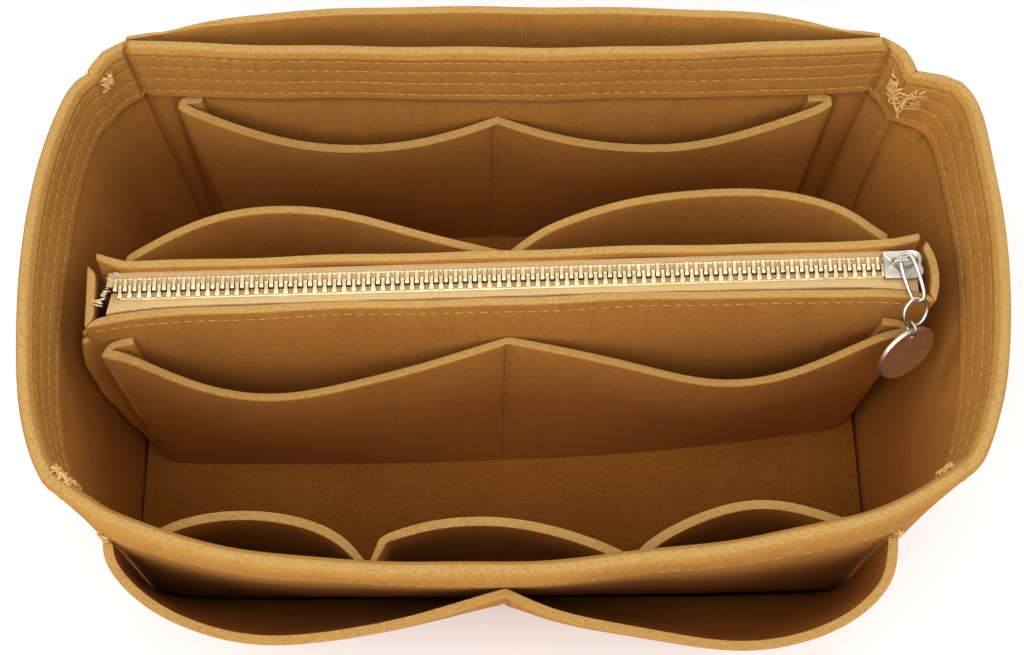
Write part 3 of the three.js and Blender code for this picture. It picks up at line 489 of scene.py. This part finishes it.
def press_fold(points, normals, fold):
    """Presses a fold line into the face that looks into the tub."""
    foot, top, width, depth = FOLDS[fold]
    share = (points[:, 2] / MM / TUB_HEIGHT)[:, None]
    middle = np.array(foot) * (1 - share) + np.array(top) * share
    away = points[:, :2] / MM - middle
    near = np.exp(-(away[:, 0] / width) ** 2) * (np.abs(away[:, 1]) < 8) * (normals[:, 1] < 0.2)
    near = near * smooth_step(points[:, 2] / MM, 3, 10)
    if "pocket" in fold:
        near = near * smooth_step(points[:, 2] / MM, 119, 112)
    return points - normals * (near * depth * MM)[:, None]


def press_seam(points, normals, seam_x):
    """Presses the felt in on both sides of an upright seam at a rear corner."""
    share = points[:, 2] / MM / TUB_HEIGHT
    middle = seam_x[0] * (1 - share) + seam_x[1] * share
    away = np.hypot(points[:, 0] / MM - middle, points[:, 1] / MM - SEAM_Y)
    inner = (points[:, 0] * seam_x[1] * normals[:, 0]) < 0
    near = np.exp(-(away / SEAM_WIDTH) ** 2) * inner
    return points - normals * (near * SEAM_DEPTH * MM)[:, None]


def lap_seam(points, node):
    """Below its tack the right rear seam laps: the side's end slips a little way behind the lining's."""
    x, y, z = points[:, 0] / MM, points[:, 1] / MM, points[:, 2] / MM
    laps = smooth_step(z, 136, 100) * smooth_step(z, 3, 20) * smooth_step(x, 120, 132)
    seam = np.array([REAR_SEAMS[1][0], SEAM_Y])
    back = np.array(FOLDS["right_fold"][0]) - seam
    back = back / np.linalg.norm(back)
    outward = np.array([back[1], -back[0]])
    moved = points.copy()
    if node == "right_side_panel":
        share = (laps * smooth_step(y, 66, 72.6))[:, None]
        moved[:, :2] += (outward * LAP_OUT + back * LAP_BACK) * MM * share
    else:
        share = (laps * smooth_step(y, 79, 73.2))[:, None]
        moved[:, :2] -= outward * LAP_IN * MM * share
    return moved


def press_splits(points, normals, splits):
    """Presses both faces of a pocket in along the seams that divide it."""
    pressed = points.copy()
    for x in splits:
        near = np.exp(-((points[:, 0] / MM - x) / SPLIT_WIDTH) ** 2) * (np.abs(normals[:, 2]) < 0.6)
        pressed -= normals * (near * SPLIT_DEPTH * MM)[:, None]
    return pressed


def fill_corner(points):
    """The tub's right rear corner stands further out at the top than the creased felt alone."""
    x, y, z = points[:, 0] / MM, points[:, 1] / MM, points[:, 2] / MM
    reach = np.exp(-((y - 68) / 22) ** 2) * smooth_step(x, 112, 134) * smooth_step(z, 60, 150)
    moved = points.copy()
    moved[:, 0] += CORNER_OUT * MM * reach
    return moved


def bulge_left_end(points):
    """The pouch's left end stands out between its seams, most below the top."""
    z = np.clip((points[:, 2] / MM - 8) / 120, 0, 1)
    x = smooth_step(-points[:, 0] / MM, 118, 134)
    moved = points.copy()
    moved[:, 0] -= LEFT_BULGE * MM * x * np.sin(math.pi * z ** 1.6)
    return moved


def curl_lip(points):
    """Both ends of the lip behind the zip bend back, the left one more."""
    x, z = points[:, 0] / MM, points[:, 2] / MM
    high = smooth_step(z, 112, 134)
    left = smooth_step(-x, 122, 136)
    right = smooth_step(x, 126, 139)
    moved = points.copy()
    moved[:, 1] += MM * high * (3.4 * left + 1.6 * right)
    moved[:, 2] -= MM * high * (0.6 * left + 0.3 * right)
    blunt = smooth_step(z, 118, 127)
    moved[:, 0] += MM * blunt * (np.maximum(-133.2 - x, 0) - np.maximum(x - 136.2, 0))
    return moved


def pinch_ends(points, normals):
    """The outer felt's ends thin out and lie against the lining, where both are caught in the seam."""
    x = np.abs(points[:, 0] / MM)
    end = smooth_step(x, 84, 121)
    moved = points.copy()
    moved[:, 1] -= MM * end * np.where(normals[:, 1] > 0, 2.4, 0.3)
    moved[:, 0] += MM * np.sign(points[:, 0]) * 5.0 * smooth_step(x, 108, 121)
    moved[:, 2] -= MM * 1.6 * smooth_step(x, 100, 121) * smooth_step(points[:, 2] / MM, 100, TUB_HEIGHT)
    return moved


def cut_planes(node):
    """Level cuts beside the stitched rows, and upright ones beside the folds."""
    up = Vector((0, 0, 1))
    if node in SPLITS:
        right = Vector((1, 0, 0))
        return [(right * (x + side) * MM, right) for x in SPLITS[node] for side in (-1.6, 0, 1.6)]
    if node not in WALLS:
        return []
    cuts = [(up * (height + side) * MM, up) for height in HEM_ROWS for side in (-1.1, 0, 1.1)]
    if node == "rear_lining_panel":
        cuts += [(Vector((0, SEAM_Y + away, 0)) * MM, REAR) for away in (1.4, 3.0)]
        for foot, top, width, _ in FOLDS.values():
            way = Vector((top[0] - foot[0], top[1] - foot[1], TUB_HEIGHT))
            across = REAR.cross(way).normalized()
            cuts += [((Vector((*foot, 0)) + across * side * 1.8 * width) * MM, across) for side in (-1, 1)]
    if node in ("left_side_panel", "right_side_panel"):
        cuts += [(Vector((0, SEAM_Y - away, 0)) * MM, REAR) for away in (1.4, 3.0)]
    return cuts


def felt_piece(node, body):
    """A felt node with rounded edges, its stitched rows, folds, seams and drawn-in or bowed ends."""
    width = RIM_EDGE if node in WALLS else CUT_EDGE
    piece = rounded(node, width, 2, fold_from=0.55 if node in SPLITS else 0.3, cuts=cut_planes(node))
    points, normals = coordinates(piece.data), directions(piece.data)
    if node in WALLS:
        points = press_rows(points, normals)
    if node == "rear_lining_panel":
        for fold in FOLDS:
            points = press_fold(points, normals, fold)
    if node in ("rear_lining_panel", "right_side_panel"):
        points = fill_corner(lap_seam(press_seam(points, normals, REAR_SEAMS[1]), node))
    if node in ("rear_lining_panel", "left_side_panel"):
        points = press_seam(points, normals, REAR_SEAMS[0])
    if node in SPLITS:
        points = press_splits(points, normals, SPLITS[node])
    if node == "rear_outer_panel":
        points = pinch_ends(points, normals)
    if node in ("pouch_left_gusset", "pouch_front_panel"):
        points = bulge_left_end(points)
    if node == "pouch_rear_panel":
        points = curl_lip(points)
    write_coordinates(piece.data, points)
    write_coordinates(piece.data, wave(points + directions(piece.data) * FELT_GROWTH * MM))
    # The base panel gets the felt darkened with painted shade.
    finish_piece(piece, painted_shade_floor_felt if node == "base_panel" else felt, body, node)
    return piece


felts = {node: felt_piece(node, "tub") for node in TUB}
felts.update({node: felt_piece(node, "pouch") for node in POUCH})


# Thread

class Surface:
    """The outside of some felt pieces, for finding places on it."""

    def __init__(self, *nodes):
        graph = bpy.context.evaluated_depsgraph_get()
        self.trees = [BVHTree.FromObject(felts[node], graph) for node in nodes]

    def hit(self, start, way):
        found = [tree.ray_cast(start, way) for tree in self.trees]
        found = [(distance, place, normal) for place, normal, _, distance in found if place]
        if not found:
            return None
        _, place, normal = min(found, key=lambda each: each[0])
        return place, normal if normal.dot(way) < 0 else -normal


def ring_of(surface, height, outside):
    """Places round the tub at a height, on the inner or outer faces."""
    places = []
    steps = 1440
    for i in range(steps):
        a = 2 * math.pi * i / steps
        way = Vector((math.cos(a), 0.6 * math.sin(a), 0)).normalized()
        start = TUB_MIDDLE + Vector((0, 0, height * MM))
        found = surface.hit(start + way * 0.4, -way) if outside else surface.hit(start, way)
        if found:
            places.append(found)
    return places


def line_of(surface, starts, way):
    """Places where level or slanting rays from a row of starts meet the surface."""
    return [found for found in (surface.hit(start, way) for start in starts) if found]


def stitched(places):
    """Stitches along a line of places: start, end, normal and height of each."""
    made = []
    gone = 0.0
    start = None
    for (a, _), (b, normal) in zip(places, places[1:]):
        way = (b - a).length / MM
        if way > LONGEST_GAP:
            start = None
            gone = 0.0
            continue
        gone += way
        if start is None and gone >= STITCH_STEP - STITCH:
            start = b
            gone = 0.0
        elif start is not None and gone >= STITCH:
            made.append((start, b, normal, STITCH_RISE * rng.uniform(0.75, 1.2)))
            start = None
            gone = 0.0
    return made


def thread_mesh(name, strands, radius):
    """One mesh of many arched threads, each with its ends sunk a little under the surface."""
    shares = np.array([0, 0.12, 0.3, 0.5, 0.7, 0.88, 1])
    widths = np.array([0.55, 0.9, 1, 1, 1, 0.9, 0.55]) * radius * MM
    sides = 6
    turn = np.arange(sides) * 2 * math.pi / sides
    points, faces = [], []
    for start, end, normal, lift in strands:
        a, b, up = np.array(start), np.array(end), np.array(normal)
        along = (b - a) / max(np.linalg.norm(b - a), 1e-9)
        side = np.cross(up, along)
        side /= max(np.linalg.norm(side), 1e-9)
        rise = (np.sin(math.pi * shares) * lift - 0.12) * MM
        centres = a + (b - a) * shares[:, None] + up * rise[:, None]
        ring = np.cos(turn)[:, None] * side + np.sin(turn)[:, None] * up
        first = len(points)
        points.extend((centres[:, None] + ring[None] * widths[:, None, None]).reshape(-1, 3))
        for r in range(len(shares) - 1):
            for k in range(sides):
                n = (k + 1) % sides
                faces.append((first + r * sides + k, first + r * sides + n,
                              first + (r + 1) * sides + n, first + (r + 1) * sides + k))
        faces.append(tuple(first + k for k in reversed(range(sides))))
        faces.append(tuple(first + (len(shares) - 1) * sides + k for k in range(sides)))
    mesh = bpy.data.meshes.new(name)
    mesh.from_pydata([tuple(p) for p in points], [], faces)
    mesh.update()
    return mesh


def add_stitches(name, strands, body):
    """A piece of felt-coloured stitches."""
    add_piece(name, thread_mesh(name, strands, THREAD), felt_thread, body)


def hem_stitches():
    """Rows of stitching through the folded rims, seen inside and outside."""
    walls = Surface(*WALLS)
    strands = []
    for height in HEM_ROWS:
        strands += stitched(ring_of(walls, height, False))
    outer = Surface("front_panel", "left_side_panel", "right_side_panel")
    for height in (HEM_ROWS[0], HEM_ROWS[-1]):
        strands += stitched(ring_of(outer, height, True))
    return strands


def valley(surface, x, y, way):
    """The deepest line of a pocket near x, where it is sewn to what is behind it."""
    line = []
    for height in SEAM_HEIGHTS:
        starts = [Vector((x + SEAM_REACH * t / 12, y, height)) * MM for t in range(-12, 13)]
        found = line_of(surface, starts, way)
        if found:
            place, _ = max(found, key=lambda each: each[0].dot(way))
            line.append((place, -way))
    return line


def seam_stitches(seams):
    """Upright seams between pockets."""
    strands = []
    for pocket, x, y, way in seams:
        strands += stitched(valley(Surface(pocket), x, y, way))
    return strands


def pouch_row_stitches():
    """Level rows below the pouch's top edges."""
    strands = []
    for panel, first, y, way in POUCH_ROWS:
        starts = [Vector((x, y, POUCH_ROW)) * MM for x in np.arange(first, POUCH_ROW_END, 0.5)]
        strands += stitched(line_of(Surface(panel), starts, way))
    return strands


def tack(node, near, half_width, half_height, count, shift):
    """Hand stitching over a seam: threads across it and short tangled ones on top, laid on the felt."""
    points = coordinates(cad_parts[node].data)
    middle = Vector(points.mean(axis=0)) + Vector(shift) * MM
    surface = Surface(*near)
    nearest = [tree.find_nearest(middle) for tree in surface.trees]
    place, normal, _, _ = min(nearest, key=lambda each: each[3])
    normal = Vector((normal.x, normal.y, 0)).normalized()
    upward = Vector((0, 0, 1))
    across = upward.cross(normal).normalized()

    def on_felt(u, v):
        target = place + across * u * MM + upward * v * MM
        found = surface.hit(target + normal * 12 * MM, -normal)
        return found[0] if found and (found[0] - target).length < 9 * MM else target

    strands = []
    for i in range(count):
        level = half_height * (2 * (i + 0.5) / count - 1)
        slant = half_height * rng.uniform(-0.4, 0.4)
        a = on_felt(-half_width * rng.uniform(0.6, 1.0), level - slant)
        b = on_felt(half_width * rng.uniform(0.6, 1.0), level + slant)
        strands.append((a, b, normal, rng.uniform(0.5, 1.0)))
    for _ in range(count * 2):
        u, v = half_width * rng.uniform(-0.9, 0.9), half_height * rng.uniform(-0.95, 0.95)
        turn = rng.uniform(-1.5, 1.5)
        long = rng.uniform(0.8, 2.0)
        a = on_felt(u - long * math.cos(turn), v - long * math.sin(turn))
        b = on_felt(u + long * math.cos(turn), v + long * math.sin(turn))
        strands.append((a, b, normal, rng.uniform(0.9, 1.8)))
    add_piece(node + "_threads", thread_mesh(node, strands, TACK_THREAD), tack_thread, "tub", node)


def zip_end():
    """Pale threads whipped round the tapes' cut ends, with a few frayed ones."""
    points = coordinates(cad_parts["zip_end_thread"].data)
    low, high = points[points[:, 1].argmin()], points[points[:, 1].argmax()]
    top = points[:, 2].max() / MM

    def along(t):
        return (low[:2] + (high[:2] - low[:2]) * t) / MM

    strands = []
    for i in range(20):
        x, y = along((i + rng.uniform(0.2, 0.8)) / 20)
        a = Vector((x + rng.uniform(0.6, 2.2), y + rng.uniform(-0.4, 0.4), top - 0.9)) * MM
        b = Vector((x - rng.uniform(0.4, 1.4), y + rng.uniform(-0.9, 0.9), top - rng.uniform(1.2, 2.4))) * MM
        strands.append((a, b, Vector((-0.2, 0, 1)).normalized(), rng.uniform(0.5, 1.0)))
    for _ in range(9):
        x, y = along(rng.random())
        a = Vector((x + 0.5, y, top - 0.7)) * MM
        b = a + Vector((rng.uniform(-3.0, -1.0), rng.uniform(-1.5, 1.5), rng.uniform(-1.2, 1.0))) * MM
        strands.append((a, b, Vector((0, 0, 1)), rng.uniform(0.2, 0.8)))
    mesh = thread_mesh("zip_end_threads", strands, END_THREAD)
    add_piece("zip_end_threads", mesh, pale_thread, "pouch", "zip_end_thread")


add_stitches("hem_stitches", hem_stitches(), "tub")
add_stitches("pocket_seams", seam_stitches(TUB_SEAMS), "tub")
add_stitches("pouch_seams", seam_stitches(POUCH_SEAMS) + pouch_row_stitches(), "pouch")
for tack_node, tack_values in TACKS.items():
    tack(tack_node, *tack_values)
zip_end()


# Cut edges at the pouch's left front corner

def side_path(node, heights):
    """The left side of a felt piece: its x and its y as smooth curves over the height."""
    points = coordinates(felts[node].data) / MM
    corners = []
    for height in heights:
        level = points[np.abs(points[:, 2] - height) < 3]
        corners.append(level[level[:, 0].argmin()])
    return [np.polyfit(heights, [corner[k] for corner in corners], 3) for k in (0, 1)]


def edge_strip(name, node, low, high, start, out, thickness, reach):
    """A felt edge that stands out along the left side of a piece, from one height to another."""
    heights = np.linspace(low, high, EDGE_RINGS)
    across, along = side_path(node, heights)
    out = Vector(out).normalized()
    side = out.cross(Vector((0, 0, 1)))
    half = thickness / 2
    work = bmesh.new()
    rings = []
    for i, height in enumerate(heights):
        x, y = np.polyval(across, height) + start[0], np.polyval(along, height) + start[1]
        middle = Vector((x, y, height))
        far = reach * (0.35 + 0.65 * math.sin(math.pi * (0.08 + 0.84 * i / (EDGE_RINGS - 1))) ** 0.6)
        far += 0.25 * math.sin(i * 0.9) + 0.15 * math.sin(i * 2.3)
        blunt = far - 0.4
        outline = ((-1.5, -half), (blunt, -half), (far, 0.4 - half), (far, half - 0.4), (blunt, half),
                   (-1.5, half))
        rings.append([work.verts.new((middle + out * u + side * v) * MM) for u, v in outline])
    for lower, upper in zip(rings, rings[1:]):
        for k in range(6):
            n = (k + 1) % 6
            work.faces.new((lower[k], lower[n], upper[n], upper[k]))
    work.faces.new(rings[0][::-1])
    work.faces.new(rings[-1])
    bmesh.ops.recalc_face_normals(work, faces=work.faces)
    mesh = bpy.data.meshes.new(name)
    work.to_mesh(mesh)
    work.free()
    piece = bpy.data.objects.new(name, mesh)
    scene.collection.objects.link(piece)
    surface = piece.modifiers.new("surface", "SUBSURF")
    surface.levels = surface.render_levels = 2
    applied(piece)
    # The cut edges get the lighter felt, a painted highlight.
    finish_piece(piece, painted_highlight_edge_felt, "pouch")


for edge_values in EDGES:
    edge_strip(*edge_values)


# Zip and pull

def widen_tape(piece, sign):
    """The tape runs on under its teeth, which clamp its edge."""
    points = coordinates(piece.data)
    cos, sin = math.cos(ZIP_TURN), math.sin(ZIP_TURN)
    x = points[:, 0] / MM - ZIP_MIDDLE[0]
    y = points[:, 1] / MM - ZIP_MIDDLE[1]
    across = y * cos - x * sin
    inner = (np.abs(across) < 4.6) & (points[:, 2] / MM > TAPE_LOW)
    move = np.where(inner, sign * TAPE_EDGE - across, 0.0)
    points[:, 0] -= move * sin * MM
    points[:, 1] += move * cos * MM
    write_coordinates(piece.data, points)


def zip_pieces():
    """The tapes, the metal parts of the zip, and the pull."""
    for node, sign in (("zip_tape_front", -1), ("zip_tape_rear", 1)):
        piece = rounded(node, 0.12, 0, round_from=0.8)
        widen_tape(piece, sign)
        finish_piece(piece, tape, "pouch", node)
    for node in ("zip_teeth_front", "zip_teeth_rear", "zip_stop_front", "zip_stop_rear"):
        piece = rounded(node, 0.16, 0, round_from=0.6, grow=TEETH_GROWTH)
        finish_piece(piece, zip_metal, "pouch", node)
    finish_piece(rounded("zip_slider", 0.4, 0, round_from=0.6), pull_metal, "slider", "zip_slider")
    for node, body in (("pull_link", "link"), ("pull_ring", "ring"), ("tag_ring", "small_ring")):
        piece = rounded(node, 0.1, 2, round_from=2.5, fold_from=2.5, grow=WIRE_GROWTH)
        finish_piece(piece, pull_metal, body, node)
    finish_piece(rounded("pull_tag", 0.2, 0, round_from=0.5), disc_metal, "tag", "pull_tag")


zip_pieces()


# Floor, light and background

def white_for_the_eye(tree, output, surface, white_kind, amount=None):
    """Seen directly or in a mirror, the background is plain white. It lights nothing."""
    path = tree.nodes.new("ShaderNodeLightPath")

    def joined(kind, one, other):
        node = tree.nodes.new("ShaderNodeMath")
        node.operation = kind
        tree.links.new(one, node.inputs[0])
        tree.links.new(other, node.inputs[1])
        return node.outputs[0]

    seen = joined("MAXIMUM", path.outputs["Is Camera Ray"], path.outputs["Is Glossy Ray"])
    seen = joined("MAXIMUM", seen, path.outputs["Is Transmission Ray"])
    if amount:
        seen = joined("MULTIPLY", seen, amount)
    white = tree.nodes.new(white_kind)
    white.inputs["Color"].default_value = WHITE
    white.inputs["Strength"].default_value = 1.0
    mix = tree.nodes.new("ShaderNodeMixShader")
    tree.links.new(seen, mix.inputs[0])
    tree.links.new(surface, mix.inputs[1])
    tree.links.new(white.outputs[0], mix.inputs[2])
    tree.links.new(mix.outputs[0], output.inputs["Surface"])


def make_floor():
    """A pale floor that keeps the shadow, and turns white further out."""
    mesh = bpy.data.meshes.new("floor")
    r = FLOOR_REACH
    mesh.from_pydata([(-r, -r, 0), (r, -r, 0), (r, r, 0), (-r, r, 0)], [], [(0, 1, 2, 3)])
    n = Nodes("floor")
    n.set(Base_Color=(0.9, 0.9, 0.9, 1), Roughness=0.9, Specular_IOR_Level=0.1)
    away = n.add("ShaderNodeVectorMath", {0: n.place}, operation="LENGTH").outputs["Value"]
    far = n.ramp(away, [(0.3, BLACK), (0.75, WHITE)])
    output = n.tree.nodes["Material Output"]
    white_for_the_eye(n.tree, output, n.shader.outputs[0], "ShaderNodeEmission", far)
    mesh.materials.append(n.material)
    floor = bpy.data.objects.new("floor", mesh)
    floor.location.z = -FLOOR_DROP
    scene.collection.objects.link(floor)


def make_world():
    """Weak even light from all sides, and white to the eye."""
    world = bpy.data.worlds.new("studio")
    world.use_nodes = True
    tree = world.node_tree
    light = tree.nodes["Background"]
    light.inputs["Color"].default_value = (1.0, 0.98, 0.95, 1)
    light.inputs["Strength"].default_value = WORLD_LIGHT
    white_for_the_eye(tree, tree.nodes["World Output"], light.outputs[0], "ShaderNodeBackground")
    scene.world = world


def softbox(name, place, aim, size, power):
    """A flat soft light."""
    data = bpy.data.lights.new(name, "AREA")
    data.shape = "RECTANGLE"
    data.size, data.size_y = size
    data.energy = power
    light = bpy.data.objects.new(name, data)
    light.location = place
    light.rotation_mode = "QUATERNION"
    light.rotation_quaternion = (Vector(aim) - Vector(place)).to_track_quat("-Z", "Y")
    scene.collection.objects.link(light)


make_floor()
make_world()
for light_values in LIGHTS:
    softbox(*light_values)
scene.view_settings.view_transform = "Standard"
